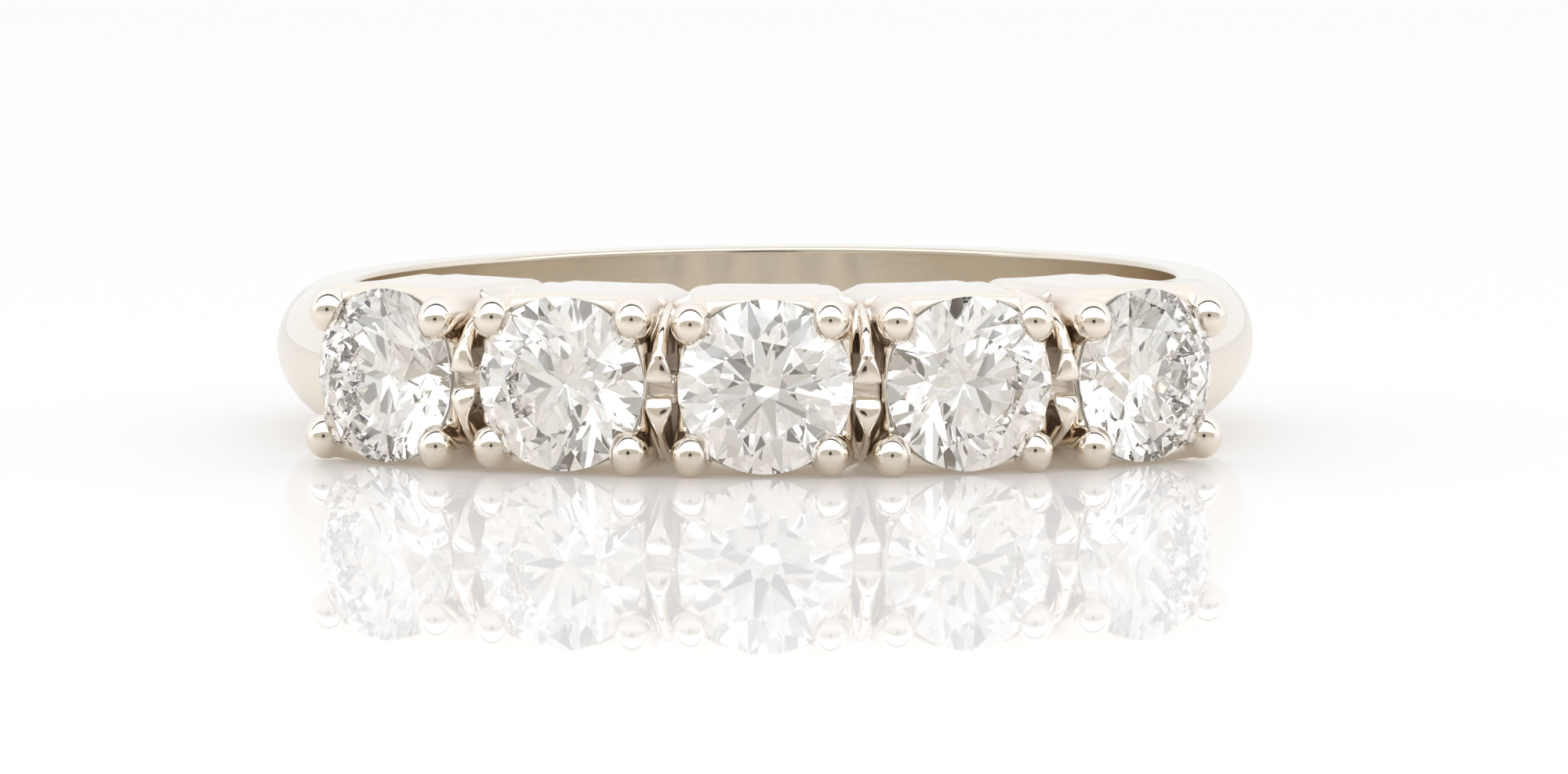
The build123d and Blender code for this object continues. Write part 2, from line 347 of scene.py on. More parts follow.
class MetalLooks(bpy.types.PropertyGroup):
    """Finish of the white gold, with painted shade in its recesses and inside the hoop."""

    tone: colour("Tone", (0.93, 0.88, 0.81), "Colour of the polished metal")
    worn_tone: colour("Worn tone", (0.86, 0.80, 0.72), "Colour where the polish is dull")
    worn_share: share("Worn share", 0.35, "How much of that colour shows where it is dullest")
    patch_scale: share("Patch scale", 700, "Fineness of the dull patches, per metre")
    gloss: share("Roughness", 0.04, "Roughness of the polished metal")
    worn_gloss: share("Worn roughness", 0.104, "Roughness where the polish is dull")
    bore_gloss: share("Bore roughness", 0.14, "Roughness inside the hoop")
    # The darker colour inside the hoop is painted shade
    bore_shade_tone: colour("Bore tone", (0.79, 0.735, 0.65), "Colour inside the hoop")
    satin_gloss: share("Satin roughness", 0.5, "Roughness inside the seats, which nobody polishes")
    brow_satin: share("Brow satin", 0.85, "Share of satin on the rims between the prongs")
    # The next six set the dirt and painted shade in the recesses: colour, roughness and shares
    dirt_and_shade_tone: colour("Soil tone", (0.62, 0.52, 0.45), "Colour of the dirt in the recesses")
    soil_gloss: share("Soil roughness", 0.6, "Roughness where dirt lies in the recesses")
    least_dirt_and_shade: share("Least soil", 0.75, "Share of dirt that lies where the polish is bright")
    more_dirt_and_shade: share("More soil", 0.35, "How much that share grows where the polish is dull")
    groove_dirt_and_shade: share("Groove soil", 0.55, "Share of dirt in the spacers' grooves")
    bead_clear_of_dirt_and_shade: share("Clean beads", 0.8, "Share of dirt that is rubbed off the spacers' beads")
    scratch_scale: share("Scratch scale", 9000, "Fineness of the scratches, per metre")
    scratch_strength: share("Scratch strength", 0.12, "Strength of the finest scratches")
    scratch_depth: length("Scratch depth", 0.004 * MM, "Depth of the finest scratches")


class StoneLooks(bpy.types.PropertyGroup):
    """Optics of the stones."""

    tone: colour("Tone", (0.985, 0.985, 0.98), "Colour of the stones")
    patch_scale: share("Patch scale", 500, "Fineness of the uneven patches, per metre")
    uneven: share("Unevenness", 0.97, "Brightness of that colour where it is darkest")
    refraction: share("Refraction", 2.417, "Index of refraction of diamond")


class StudioLooks(bpy.types.PropertyGroup):
    """Floor, light and camera."""

    floor_half: length("Floor half", 3.0, "Half width of the floor")
    floor_tone: colour("Floor tone", (0.76, 0.745, 0.73), "Colour of the floor")
    floor_seen: colour("Floor seen", (0.90, 0.93, 0.97), "Colour of the floor as the camera sees it")
    floor_glow: colour("Floor glow", (0.20, 0.18, 0.155), "Light that comes through the floor from below")
    floor_white: colour("Floor white", (0.23, 0.20, 0.17), "The same light as the camera sees it")
    floor_mirror: share("Floor mirror", 0.75, "Share of the floor's mirror image that is kept")
    floor_gloss: share("Floor roughness", 0.015, "Roughness of that mirror image")
    floor_index: share("Floor index", 1.49, "Index of refraction of the floor's polish")
    surround: share("Surround", 1.1, "Brightness of the white surround")
    backdrop: share("Backdrop", 0.96, "Brightness of the backdrop in reflections")
    front_tone: colour("Front tone", (0.60, 0.555, 0.48), "Light from the dimmer front")
    top_light: share("Top light", 1.5, "Brightness of the long light")
    gap_tone: share("Gap", 0.08, "Brightness of the gap behind the long light")
    lens_tone: colour("Lens tone", (0.05, 0.045, 0.04), "Light from where the camera stands")
    spread_front: colour("Front on the floor", (0.30, 0.23, 0.16), "Front light that the floor spreads")
    spread_back: share("Back on the floor", 1.36, "Brightness of the back light that it spreads")
    stone_light: share("Light through stones", 1.4, "Brightness of the long light through the stones")
    stone_front: colour("Front through stones", (0.82, 0.815, 0.80), "Front light through the stones")
    stone_gap: share("Gap through stones", 0.7, "Brightness of the gap through the stones")
    stone_low: colour("Horizon through stones", (0.32, 0.315, 0.30), "Dark band at the horizon")
    stone_shade: degrees("Shade", 9, "Height of that dark band")
    shade_core: share("Shade core", 0.7, "Share of that height below which it is fully dark")
    distance: length("Distance", 300 * MM, "Distance of the camera from the ring's centre")
    elevation: degrees("Elevation", 4.7, "Height of the camera as an angle")
    focal: share("Focal length", 332.1, "Focal length of the camera in millimetres of lens")
    aim_across: length("Aim across", 0.39 * MM, "Where the camera aims, to the right of the centre")
    aim_below: length("Aim below", 1.02 * MM, "Where the camera aims, below the centre")


def smooth_min(a, b, width):
    """Lower of two fields, rounded over a width where they cross."""
    mix = np.clip(0.5 + 0.5 * (b - a) / width, 0, 1)
    return b * (1 - mix) + a * mix - width * mix * (1 - mix)


def smooth_max(a, b, width):
    """Higher of two fields, rounded over a width where they cross."""
    return -smooth_min(-a, -b, width)


def ramp(value, start, end):
    """Share that grows smoothly from 0 to 1 while the value goes from start to end."""
    way = np.clip((value - start) / (end - start), 0, 1)
    return way ** 2 * (3 - 2 * way)


def tapered_rod(x, y, z, start, end, start_radius, end_radius):
    """Distance to a rod with round ends: to the line from start to end, less a radius
    that changes evenly along it."""
    start = np.array(start)
    run = np.array(end) - start
    px, py, pz = x - start[0], y - start[1], z - start[2]
    along = np.clip((px * run[0] + py * run[1] + pz * run[2]) / (run @ run), 0, 1)
    gap = np.sqrt((px - along * run[0]) ** 2 + (py - along * run[1]) ** 2 + (pz - along * run[2]) ** 2)
    return gap - (start_radius + (end_radius - start_radius) * along)


def egg(x, y, z, middle, halves):
    """About the distance to an egg-like solid with three half widths: k (k - 1) / g, where
    k is the length of the point over the half widths and g that over their squares."""
    parts = [(value - centre) / half for value, centre, half in zip((x, y, z), middle, halves)]
    k = np.sqrt(sum(part ** 2 for part in parts))
    g = np.sqrt(sum((part / half) ** 2 for part, half in zip(parts, halves)))
    return k * (k - 1) / np.maximum(g, 1e-9)


def rounded_box(x, y, half_x, half_y, corner):
    """Distance in the plane to a rectangle whose corners have a radius."""
    out_x = np.abs(x) - half_x + corner
    out_y = np.abs(y) - half_y + corner
    outside = np.hypot(np.maximum(out_x, 0), np.maximum(out_y, 0))
    return outside + np.minimum(np.maximum(out_x, out_y), 0) - corner


def skin(field, low, high, step):
    """Vertices and faces of the surface where a field is zero.

    The field is worked out at the points of a grid. Each cell that the surface
    crosses gets one vertex, the mean of the crossings on the cell's edges, and each
    grid edge that it crosses gets one face with the four cells round it. Then every
    vertex slides down the field's slope onto the surface, a few times over.
    """
    axes = [np.arange(low[k], high[k] + step, step) for k in range(3)]
    grid = np.meshgrid(*axes, indexing="ij")
    value = field(*grid)
    shape = np.array(value.shape)
    total = np.zeros((*(shape - 1), 3))
    count = np.zeros(shape - 1)
    crossings = []
    for axis in range(3):
        first = np.take(value, range(shape[axis] - 1), axis)
        second = np.take(value, range(1, shape[axis]), axis)
        crossed = (first < 0) != (second < 0)
        with np.errstate(divide="ignore", invalid="ignore"):
            part = np.where(crossed, first / (first - second), 0)
        points = np.stack([np.take(g, range(shape[axis] - 1), axis) for g in grid], -1)
        points[..., axis] += part * step
        points *= crossed[..., None]
        b, c = (axis + 1) % 3, (axis + 2) % 3
        for shift_b in (0, 1):
            for shift_c in (0, 1):
                window = [slice(None)] * 3
                window[b] = slice(shift_b, shape[b] - 1 + shift_b)
                window[c] = slice(shift_c, shape[c] - 1 + shift_c)
                total += points[tuple(window)]
                count += crossed[tuple(window)]
        crossings.append((axis, crossed, first < 0))
    used = count > 0
    number = np.full(used.shape, -1)
    number[used] = np.arange(used.sum())
    vertices = total[used] / count[used][:, None]
    faces = []
    for axis, crossed, inside in crossings:
        b, c = (axis + 1) % 3, (axis + 2) % 3
        spots = np.argwhere(crossed)
        keep = (spots[:, b] > 0) & (spots[:, c] > 0)
        keep &= (spots[:, b] < shape[b] - 1) & (spots[:, c] < shape[c] - 1)
        spots = spots[keep]
        step_b, step_c = np.eye(3, dtype=int)[b], np.eye(3, dtype=int)[c]
        corners = [spots - step_b - step_c, spots - step_c, spots, spots - step_b]
        quads = np.stack([number[tuple(corner.T)] for corner in corners], -1)
        flip = ~inside[tuple(spots.T)]
        quads[flip] = quads[flip][:, ::-1]
        faces.append(quads)
    reach = step * SLOPE_REACH
    for _ in range(SLIDES):
        here = field(*vertices.T)
        slope = np.empty_like(vertices)
        for k in range(3):
            shift = np.zeros(3)
            shift[k] = reach
            slope[:, k] = (field(*(vertices + shift).T) - field(*(vertices - shift).T)) / (2 * reach)
        steep = np.maximum((slope ** 2).sum(-1), LEAST_SLOPE)
        move = -slope * (here / steep)[:, None]
        vertices = vertices + np.clip(move, -step * MOST_SLIDE, step * MOST_SLIDE)
    return vertices, np.concatenate(faces)


def search_box(half_round, top, room):
    """Lowest and highest corner of the box, in a radial frame, that a skin is looked for in."""
    half_round, half_along = half_round + room["round"], RING_HEIGHT / 2 + room["along"]
    low = (-half_round, -half_along, FINGER_RADIUS - room["inward"])
    return low, (half_round, half_along, top + room["outward"])


def metal_piece(name, vertices, faces, dirt_and_shade, satin):
    """Smooth metal object from whole arrays, made on the one body in place of the band.

    Soil and satin are shares for each vertex: how much dirt and painted shade the metal
    holds there, and how much it is left without polish.
    """
    mesh = bpy.data.meshes.new(name)
    mesh.from_pydata(vertices.tolist(), [], faces)
    for key, shares in (("dirt_and_shade", dirt_and_shade), ("satin", satin)):
        mesh.attributes.new(key, "FLOAT", "POINT").data.foreach_set("value", shares)
    mesh.shade_smooth()
    mesh.materials.append(bpy.data.materials["polished_gold"])
    piece = bpy.data.objects.new(name, mesh)
    bpy.context.scene.collection.objects.link(piece)
    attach(piece, "root")
    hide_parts("band")
    return piece


def from_local(vertices, angle):
    """Turn points from a radial frame (round, along, outward) into the ring's frame."""
    turn_x = np.array([math.cos(angle), math.sin(angle), 0])
    turn_z = np.array([math.sin(angle), -math.cos(angle), 0])
    along = np.array([0, 0, 1])
    return vertices[:, :1] * turn_x + vertices[:, 1:2] * along + vertices[:, 2:] * turn_z


def hand_work(x, y, z, seed):
    """Small uneven height of hand-finished metal: the sum of three crossing waves."""
    waves = 0
    for wave in HAND_WAVES:
        waves = waves + np.sin(x * wave["x"] + y * wave["y"] + z * wave["z"] + seed * wave["seed"])
    return waves * bpy.context.scene.band_head.unevenness


def head_field(number):
    """Field of one head in its radial frame, negative in the metal.

    A column with rounded corners, whose height shrinks evenly from its base to its
    rim, is scooped across the sides that face its neighbours and joined to four rods
    that end in beads. The waves of hand finishing go over it. Taken away are the
    finger hole, a cone and a ring that fit the stone, and the light hole under it.
    """
    scene = bpy.context.scene
    head, prong = scene.band_head, scene.band_prong
    base_half = FINGER_RADIUS * math.tan(PITCH / 2)
    rim = GIRDLE - head.rim_drop
    top_half = STONE_RADIUS + head.margin
    base_half_height = RING_HEIGHT / 2
    base_top = FINGER_RADIUS + head.base_depth
    bead_halves = (prong.half_across, prong.half_along, prong.half_outward)
    soft = head.softness
    under_slope, over_slope = PLACES[0]["under_slope"], PLACES[0]["over_slope"]

    def field(x, y, z):
        climb = np.clip((z - FINGER_RADIUS) / (rim - FINGER_RADIUS), 0, 1)
        half_x = base_half + (top_half - base_half) * climb
        slope_climb = np.clip((z - base_top) / (rim - base_top), 0, 1)
        half_y = base_half_height + (top_half - base_half_height) * slope_climb
        metal = rounded_box(x, y, half_x, half_y, head.corner)
        metal = smooth_max(metal, z - rim, head.rim_round)
        scoop = head.scallop_radius - np.hypot(y, z - rim + head.scallop_depth - head.scallop_radius)
        metal = smooth_max(metal, scoop, soft)
        for corner, (side_x, side_y) in CORNERS.items():
            nudge_x, nudge_y = (nudge * MM for nudge in PRONG_NUDGES[corner][number - 1])
            foot_x, foot_y = base_half + prong.foot - prong.stem, base_half_height - prong.stem
            foot = (side_x * foot_x, side_y * foot_y, base_top)
            bead = (side_x * prong.across + nudge_x, side_y * prong.along + nudge_y, GIRDLE + prong.rise)
            stem = tapered_rod(x, y, z, foot, bead, prong.stem, prong.stem * prong.stem_left)
            knob = egg(x, y, z, bead, bead_halves)
            metal = smooth_min(metal, smooth_min(stem, knob, soft), soft * ROUNDINGS["prong"])
        metal = metal + hand_work(x, y, z, number)
        off_axis = np.hypot(x, y)
        depth = GIRDLE - z
        below = off_axis - STONE_RADIUS - head.seat + (depth - HALF_GIRDLE) * under_slope
        above = off_axis - STONE_RADIUS - head.seat - (depth + HALF_GIRDLE) * over_slope
        within = np.maximum(np.maximum(below * UNDER_SCALE, above * OVER_SCALE), z - TABLE)
        hole = np.maximum(off_axis - head.light_hole, z - GIRDLE)
        metal = smooth_max(metal, -np.minimum(within, hole), soft * ROUNDINGS["seat"])
        return smooth_max(metal, FINGER_RADIUS - np.hypot(x, z), soft * ROUNDINGS["bore"])

    return field


def filling_top(along):
    """Reach of the filling between two heads: even in the middle, then falling to its ends."""
    spacer = bpy.context.scene.band_spacer
    past = smooth_max(np.abs(along) - spacer.fill_flat, 0.0, spacer.fill_round)
    middle = GIRDLE - spacer.fill_drop
    return middle + (spacer.fill_reach - middle) * past / (spacer.fill_along - spacer.fill_flat)


def spacer_field(nudge):
    """Field of one spacer in its radial frame, negative in the metal.

    The floor of the groove is a rippled bar. On either side of it a domed bead, a
    triangle with its wide end at the groove, runs out into a wall with a round top.
    The top goes on with the bead's slope and falls to the rims with the cube of the
    way. Two struts beside each wall and a filling between the heads join them.
    """
    scene = bpy.context.scene
    spacer = scene.band_spacer
    soft = scene.band_head.softness
    end_along = RING_HEIGHT / 2 - spacer.end_drop - spacer.end_radius
    nudge_x, nudge_y = nudge[0] * MM, nudge[1] * MM
    top = GIRDLE + spacer.rise
    floor = GIRDLE - spacer.bar_drop
    bar_size = (spacer.half * spacer.bar_share, spacer.bar_half, spacer.bar_corner)
    beads = (
        (1, spacer.high_top, spacer.high_curve, spacer.high_full, spacer.high_point, spacer.high_ridge),
        (-1, spacer.low_top, spacer.low_curve, spacer.low_full, spacer.low_point, spacer.low_ridge),
    )

    def field(x, y, z):
        metal = smooth_max(np.abs(x) - spacer.fill_half, z - filling_top(y), soft)
        metal = np.maximum(metal, np.abs(y) - spacer.fill_along - spacer.fill_slant * np.abs(x))
        off = np.abs(x - nudge_x)
        bar = rounded_box(x - nudge_x, y - nudge_y, *bar_size)
        ripples = np.sin(y * RIPPLE["along"] + x * RIPPLE["round"] + nudge_y * RIPPLE["nudge"])
        metal = smooth_min(metal, smooth_max(bar, z - floor + spacer.ripple * ripples, soft), soft)
        for side, crest, curve, full, point, ridge in beads:
            way = side * (y - nudge_y)
            narrow = np.clip((way - full) / (point - full), 0, NARROWING_END)
            half = spacer.half * (1 - narrow) + ridge * spacer.point_share * narrow
            deep = np.maximum(top - z, 0)
            outline = (off - half + deep * spacer.flank) * BEAD_SCALE
            outline = smooth_max(outline, way - point, soft)
            groove = spacer.groove / 2 - way + deep * spacer.groove_flank
            outline = smooth_max(outline, groove, soft * ROUNDINGS["groove"])
            dome = z - top + curve * (way - crest) ** 2 + spacer.bulge * (off / half) ** 2
            bead = smooth_max(outline, dome * BEAD_SCALE, soft * ROUNDINGS["dome"])
            start = top - curve * (spacer.ridge_along - crest) ** 2 - ridge - spacer.ridge_sink
            fall = 2 * curve * (spacer.ridge_along - crest)
            run = end_along - spacer.ridge_along
            steeper = (start - fall * run - spacer.end_reach) / run ** 3
            past = np.clip(side * y - spacer.ridge_along, 0, run)
            middle = start - fall * past - steeper * past ** 3
            lying = 1 / np.sqrt(1 + (fall + 3 * steeper * past ** 2) ** 2)
            thick = ridge + (spacer.end_radius - ridge) * past / run
            sideways = np.abs(x - nudge_x * (1 - past / run))
            wall = np.hypot(sideways, np.maximum(z - middle, 0) * lying) - thick
            wall = np.maximum(wall, np.maximum(spacer.ridge_along - side * y, side * y - end_along))
            bead = smooth_min(bead, wall, soft * ROUNDINGS["ridge"])
            metal = smooth_min(metal, bead, soft * ROUNDINGS["bead"])
            for side_x in (1, -1):
                ends = []
                for end in STRUT_ENDS:
                    level = GIRDLE - end["below"] * MM
                    ends.append((side_x * end["round"] * MM, side * end["along"] * MM, level))
                strut = tapered_rod(x, y, z, *ends, spacer.strut, spacer.strut)
                metal = smooth_min(metal, strut, soft * ROUNDINGS["strut"])
        return np.maximum(metal, FINGER_RADIUS + spacer.inner_inset - np.hypot(x, z))

    return field


def hoop_surface():
    """Vertices and faces of the hoop from one outer head round to the other.

    Each section is an arc outside, two edges and a flat inside, with its corners
    softened by a running mean along it. Height, crown and edge fall from the
    shoulder to the hoop by the share (1 - s) squared times (1 + fullness s), with s
    the way from the outer head to the side of the hoop. The ends stay inside the outer
    heads' walls, clear of their stones.
    """
    hoop = bpy.context.scene.band_hoop
    outer = PLACES[-1]["angle"]
    full, start = outer + PITCH * hoop.taper, outer + PITCH * hoop.start
    angles = np.linspace(start, 2 * math.pi - start, HOOP_ROWS)[:, None]
    from_front = np.minimum(angles, 2 * math.pi - angles)
    s = np.clip((from_front - full) / (math.pi / 2 - full), 0, 1)
    left = (1 - s) ** 2 * (1 + hoop.fullness * s)
    half = hoop.width / 2 + (RING_HEIGHT / 2 - hoop.side_inset - hoop.width / 2) * left
    crown = FINGER_RADIUS + hoop.thickness
    crown = crown + (GIRDLE - hoop.crown_drop - crown) * left
    edge = FINGER_RADIUS + hoop.edge
    edge = edge + (GIRDLE - hoop.edge_drop - edge) * left
    sagitta = crown - edge
    arc_radius = (half ** 2 + sagitta ** 2) / (2 * sagitta)
    opening = np.arctan2(half, arc_radius - sagitta)
    inner = FINGER_RADIUS + hoop.inner_inset * np.clip(1 - (1 - left) / hoop.inset_end, 0, 1)

    arc = np.linspace(-1, 1, ARC_POINTS)[None, :-1]
    side = np.linspace(0, 1, SIDE_POINTS)[None, :-1]
    flat = np.linspace(1, -1, FLAT_POINTS)[None, :-1]
    reach = np.concatenate([
        crown - arc_radius + arc_radius * np.cos(arc * opening),
        edge + (inner - edge) * side,
        np.broadcast_to(inner, (len(angles), flat.shape[1])),
        inner + (edge - inner) * side,
    ], 1)
    height = np.concatenate([
        arc_radius * np.sin(arc * opening),
        np.broadcast_to(half, (len(angles), side.shape[1])),
        half * flat,
        np.broadcast_to(-half, (len(angles), side.shape[1])),
    ], 1)
    for _ in range(CORNER_MEANS):
        reach = (np.roll(reach, 1, 1) + 2 * reach + np.roll(reach, -1, 1)) / 4
        height = (np.roll(height, 1, 1) + 2 * height + np.roll(height, -1, 1)) / 4
    height = height + hoop.lean * np.sin(angles) * (1 - left)
    points = np.stack([reach * np.sin(angles), -reach * np.cos(angles), height], -1)
    rows, columns = reach.shape
    number = np.arange(rows * columns).reshape(rows, columns)
    ahead = np.roll(number, -1, 1)
    quads = np.stack([number[:-1], number[1:], ahead[1:], ahead[:-1]], -1).reshape(-1, 4)
    vertices = points.reshape(-1, 3)
    caps = []
    for row, order in ((0, 1), (rows - 1, -1)):
        centre = len(vertices)
        vertices = np.vstack([vertices, points[row].mean(0)])
        ring, following = number[row], ahead[row]
        caps.append(np.stack([np.full(columns, centre), ring, following][::order], -1))
    return vertices, quads, np.concatenate(caps)


def dirt_and_shade_between(along, outward):
    """Share of soil, dirt with painted shade, by depth below the girdles and by distance to
    the rims, in local points.
    """
    deep = ramp(GIRDLE - outward, *DIRT_AND_SHADE_DEPTH)
    inside = ramp(RING_HEIGHT / 2 - np.abs(along), *DIRT_AND_SHADE_INSIDE)
    return deep * inside * ramp(outward - FINGER_RADIUS, *DIRT_AND_SHADE_ABOVE_HOOP)


def head_shade_dirt_and_satin(vertices, shoulder):
    """Soil, that is dirt with painted shade, and satin of a head, in local points.

    Soil, dirt with painted shade, lies deep on the sides that face another head, so not on
    the side of the shoulder, which is -1, 1 or 0 for none. The seat is satin, and so are
    the rims between the prongs, from a little above the girdle down.
    """
    x, y, z = vertices.T
    # Dirt and painted shade on the sides that face another head, deepest between them
    flank = np.where(x * shoulder > 0, 0.0, ramp(np.abs(x), *FLANK))
    seat = ramp(STONE_RADIUS - np.hypot(x, y), 0.0, BLUR) * ramp(GIRDLE - z, 0.0, BLUR)
    brow = ramp(np.abs(y), *BROW) * ramp(z - GIRDLE, *BROW_DEPTH) * ramp(GIRDLE + BLUR - z, 0.0, BLUR)
    satin = np.maximum(seat, bpy.context.scene.band_metal.brow_satin * brow)
    return flank * dirt_and_shade_between(y, z), satin


def spacer_dirt_and_shade(vertices, nudge_y):
    """Soil of a spacer, dirt with painted shade, in local points: little on its beads and
    walls, more in its groove.
    """
    looks = bpy.context.scene.band_metal
    y, z = vertices[:, 1], vertices[:, 2]
    # Dirt and painted shade: less where the surface rises above the filling, more in the groove
    lift = ramp(z - filling_top(y), *FILLING_EDGE)
    groove = 1 - ramp(np.abs(y - nudge_y), *GROOVE_EDGE)
    groove = groove * ramp(GIRDLE + GROOVE_TOP - z, 0.0, BLUR) * looks.groove_dirt_and_shade
    return np.maximum(dirt_and_shade_between(y, z) * (1 - looks.bead_clear_of_dirt_and_shade * lift), groove)


def add_node(tree, kind, inputs, **settings):
    """Shader node with its settings. Each input is a value or another node's output."""
    node = tree.nodes.new("ShaderNode" + kind)
    for key, value in settings.items():
        setattr(node, key, value)
    for key, source in inputs.items():
        if isinstance(source, bpy.types.NodeSocket):
            tree.links.new(source, node.inputs[key])
        else:
            node.inputs[key].default_value = source
    return node


def calculate(tree, kind, first, second, **settings):
    """Output of a node that calculates with two values or outputs."""
    return add_node(tree, "Math", {0: first, 1: second}, operation=kind, **settings).outputs[0]


def blend(tree, factor, under, over, kind="RGBA"):
    """Output of a node that goes from one colour or value to another with a factor."""
    return add_node(tree, "Mix", {"Factor": factor, "A": under, "B": over}, data_type=kind).outputs["Result"]


def opaque(tone):
    """A colour with full alpha."""
    return (*tone, 1.0)


def grey(level):
    """Neutral colour of one brightness, with full alpha."""
    return (level, level, level, 1.0)


def new_material(name):
    """Material with nodes, and its node tree."""
    material = bpy.data.materials.new(name)
    material.use_nodes = True
    return material, material.node_tree


def polish_group():
    """Node group for hand polish: a mask of dull patches and a height of fine scratches.

    Two wave-like noises stretched along crossing directions give the scratches, and a
    broad noise the patches.
    """
    tree = bpy.data.node_groups.new("hand_polish", "ShaderNodeTree")
    for name, direction, kind in (
        ("Vector", "INPUT", "NodeSocketVector"),
        ("Patch scale", "INPUT", "NodeSocketFloat"),
        ("Scratch scale", "INPUT", "NodeSocketFloat"),
        ("Dull", "OUTPUT", "NodeSocketFloat"),
        ("Height", "OUTPUT", "NodeSocketFloat"),
    ):
        tree.interface.new_socket(name=name, in_out=direction, socket_type=kind)
    entry = tree.nodes.new("NodeGroupInput").outputs
    leave = tree.nodes.new("NodeGroupOutput").inputs
    patches = {"Vector": entry["Vector"], "Scale": entry["Patch scale"], "Detail": 4.0}
    patches = add_node(tree, "TexNoise", patches).outputs["Fac"]
    dull = add_node(tree, "MapRange", {"Value": patches, "From Min": DULL[0], "From Max": DULL[1]})
    heights = []
    for way in SCRATCHES:
        place = {"Vector": entry["Vector"], "Rotation": way["turn"], "Scale": way["stretch"]}
        place = add_node(tree, "Mapping", place).outputs["Vector"]
        scratch = {"Vector": place, "Scale": entry["Scratch scale"], "Detail": 2.0}
        heights.append(add_node(tree, "TexNoise", scratch).outputs["Fac"])
    tree.links.new(dull.outputs["Result"], leave["Dull"])
    tree.links.new(calculate(tree, "ADD", *heights), leave["Height"])
    return tree


def white_gold(polish):
    """Polished white gold: duller in patches, softer inside the hoop and darker there with
    painted shade, rough where the satin attribute says so, and darker with dirt and painted
    shade where the soil attribute does."""
    looks = bpy.context.scene.band_metal
    material, tree = new_material("polished_gold")
    place = add_node(tree, "TexCoord", {}).outputs["Object"]
    effect = {"Vector": place, "Patch scale": looks.patch_scale, "Scratch scale": looks.scratch_scale}
    effect = add_node(tree, "Group", effect, node_tree=polish).outputs
    worn = calculate(tree, "MULTIPLY", effect["Dull"], looks.worn_share)
    tone = blend(tree, worn, opaque(looks.tone), opaque(looks.worn_tone))
    gloss = {"Value": effect["Dull"], "To Min": looks.gloss, "To Max": looks.worn_gloss}
    gloss = add_node(tree, "MapRange", gloss).outputs["Result"]
    flat = add_node(tree, "VectorMath", {0: place, 1: (1.0, 1.0, 0.0)}, operation="MULTIPLY")
    reach = add_node(tree, "VectorMath", {0: flat.outputs["Vector"]}, operation="LENGTH")
    # Inside of the hoop: rougher, and darker with painted shade
    bore = {
        "Value": reach.outputs["Value"],
        "From Min": FINGER_RADIUS + BORE_EDGE[0],
        "From Max": FINGER_RADIUS + BORE_EDGE[1],
    }
    bore = add_node(tree, "MapRange", bore).outputs["Result"]
    satin = add_node(tree, "Attribute", {}, attribute_name="satin").outputs["Fac"]
    # Dirt and painted shade in the recesses, more of it where the polish is dull
    dirt_and_shade = add_node(tree, "Attribute", {}, attribute_name="dirt_and_shade").outputs["Fac"]
    patchy = {0: effect["Dull"], 1: looks.more_dirt_and_shade, 2: looks.least_dirt_and_shade}
    patchy = add_node(tree, "Math", patchy, operation="MULTIPLY_ADD")
    dirt_and_shade = calculate(tree, "MULTIPLY", dirt_and_shade, patchy.outputs[0], use_clamp=True)
    for mask, other_tone, other_gloss in (
        (bore, looks.bore_shade_tone, looks.bore_gloss),
        (satin, looks.tone, looks.satin_gloss),
        (dirt_and_shade, looks.dirt_and_shade_tone, looks.soil_gloss),
    ):
        tone = blend(tree, mask, tone, opaque(other_tone))
        gloss = blend(tree, mask, gloss, other_gloss, "FLOAT")
    bump = {"Strength": looks.scratch_strength, "Distance": looks.scratch_depth}
    bump = add_node(tree, "Bump", {**bump, "Height": effect["Height"]}).outputs["Normal"]
    shader = tree.nodes["Principled BSDF"]
    shader.inputs["Metallic"].default_value = 1.0
    tree.links.new(tone, shader.inputs["Base Color"])
    tree.links.new(gloss, shader.inputs["Roughness"])
    tree.links.new(bump, shader.inputs["Normal"])
    return material


def diamond(polish):
    """Cut diamond: clear, strongly refracting, with the faintest uneven tint."""
    looks = bpy.context.scene.band_stone
    material, tree = new_material("cut_diamond")
    place = add_node(tree, "TexCoord", {}).outputs["Object"]
    effect = {"Vector": place, "Patch scale": looks.patch_scale}
    effect = add_node(tree, "Group", effect, node_tree=polish).outputs
    darkest = [part * looks.uneven for part in looks.tone]
    tone = blend(tree, effect["Dull"], opaque(looks.tone), opaque(darkest))
    shader = tree.nodes["Principled BSDF"]
    shader.inputs["Metallic"].default_value = 0.0
    shader.inputs["Roughness"].default_value = 0.0
    shader.inputs["Transmission Weight"].default_value = 1.0
    shader.inputs["IOR"].default_value = looks.refraction
    tree.links.new(tone, shader.inputs["Base Color"])
    return material


def floor_material():
    """Pale floor that spreads light, glows a little and holds a faint mirror image.

    Its colour and glow are a little different for the camera than for the ring, so
    that it looks white without the ring being lit from below as strongly.
    """
    looks = bpy.context.scene.band_studio
    material, tree = new_material("studio_floor")
    tree.nodes.remove(tree.nodes["Principled BSDF"])
    seen_now = add_node(tree, "LightPath", {}).outputs["Is Camera Ray"]
    parts = []
    for kind, tone, seen in (
        ("BsdfDiffuse", looks.floor_tone, looks.floor_seen),
        ("Emission", looks.floor_glow, looks.floor_white),
    ):
        tone = blend(tree, seen_now, opaque(tone), opaque(seen))
        parts.append(add_node(tree, kind, {"Color": tone}).outputs[0])
    table = add_node(tree, "AddShader", {0: parts[0], 1: parts[1]}).outputs["Shader"]
    mirror = add_node(tree, "BsdfGlossy", {"Roughness": looks.floor_gloss}).outputs["BSDF"]
    grazing = add_node(tree, "Fresnel", {"IOR": looks.floor_index}).outputs["Fac"]
    part = calculate(tree, "MULTIPLY", grazing, looks.floor_mirror)
    both = add_node(tree, "MixShader", {0: part, 1: table, 2: mirror}).outputs["Shader"]
    tree.links.new(both, tree.nodes["Material Output"].inputs["Surface"])
    return material


